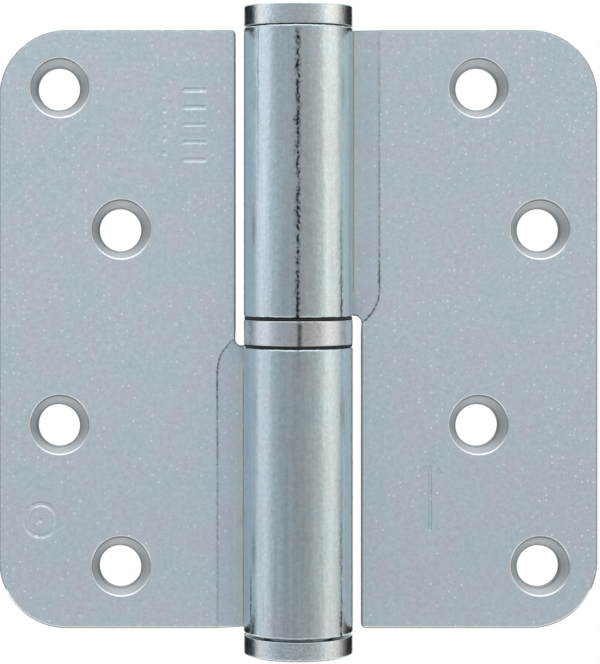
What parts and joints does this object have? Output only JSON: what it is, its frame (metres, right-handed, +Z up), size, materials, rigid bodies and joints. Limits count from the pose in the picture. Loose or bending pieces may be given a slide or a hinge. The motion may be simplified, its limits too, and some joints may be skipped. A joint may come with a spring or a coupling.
{
  "type": "ball bearing hinge",
  "caption": "Lift-off door hinge: two flat cranked leaves with rounded corners and countersunk holes, rolled into knuckles that turn on a fixed pin and a caged ball bearing.",
  "frame": {"origin": "on the pin's axis, at the middle of the barrel's height", "axes": "+Z up along the pin, +X towards the door leaf with the hinge opened flat, -Y towards the countersunk faces that are seen in use"},
  "size_m": [0.089, 0.0162, 0.0958],
  "materials": {
    "leaf_zinc": "blue passivated zinc plate on pressed steel, satin",
    "cap_zinc": "blue passivated zinc plate on turned steel, satin",
    "shell_zinc": "blue passivated zinc plate on turned steel, satin",
    "pin_steel": "ground and greased steel",
    "bearing_steel": "polished bearing steel",
    "cage_nylon": "moulded natural nylon"
  },
  "bodies": {
    "frame_side": {"frame_leaf": "leaf_zinc", "hinge_pin": "pin_steel", "bottom_cap": "cap_zinc", "bearing_shell": "shell_zinc", "lower_race": "bearing_steel"},
    "turning_race": {"upper_race": "bearing_steel"},
    "door_side": {"door_leaf": "leaf_zinc", "top_cap": "cap_zinc"},
    "cage_ring": {"ball_cage": "cage_nylon", "ball_01": "bearing_steel", "ball_02": "bearing_steel", "ball_03": "bearing_steel", "ball_04": "bearing_steel", "ball_05": "bearing_steel", "ball_06": "bearing_steel", "ball_07": "bearing_steel", "ball_08": "bearing_steel", "ball_09": "bearing_steel", "ball_10": "bearing_steel", "ball_11": "bearing_steel", "ball_12": "bearing_steel", "ball_13": "bearing_steel", "ball_14": "bearing_steel", "ball_15": "bearing_steel", "ball_16": "bearing_steel"}
  },
  "joints": [
    {"name": "leaf_swing", "type": "hinge", "parent": "frame_side", "child": "turning_race", "pos_m": [0, 0, 0], "axis": [0, 0, 1], "range_deg": [-180, 110]},
    {"name": "leaf_lift", "type": "slide", "parent": "turning_race", "child": "door_side", "axis": [0, 0, 1], "range_m": [0, 0.037]},
    {"name": "cage_spin", "type": "hinge", "parent": "frame_side", "child": "cage_ring", "pos_m": [0, 0, 0], "axis": [0, 0, 1], "range_deg": [-90, 55]}
  ],
  "couplings": [
    {"joint": "cage_spin", "follows": "leaf_swing", "ratio": 0.5}
  ]
}
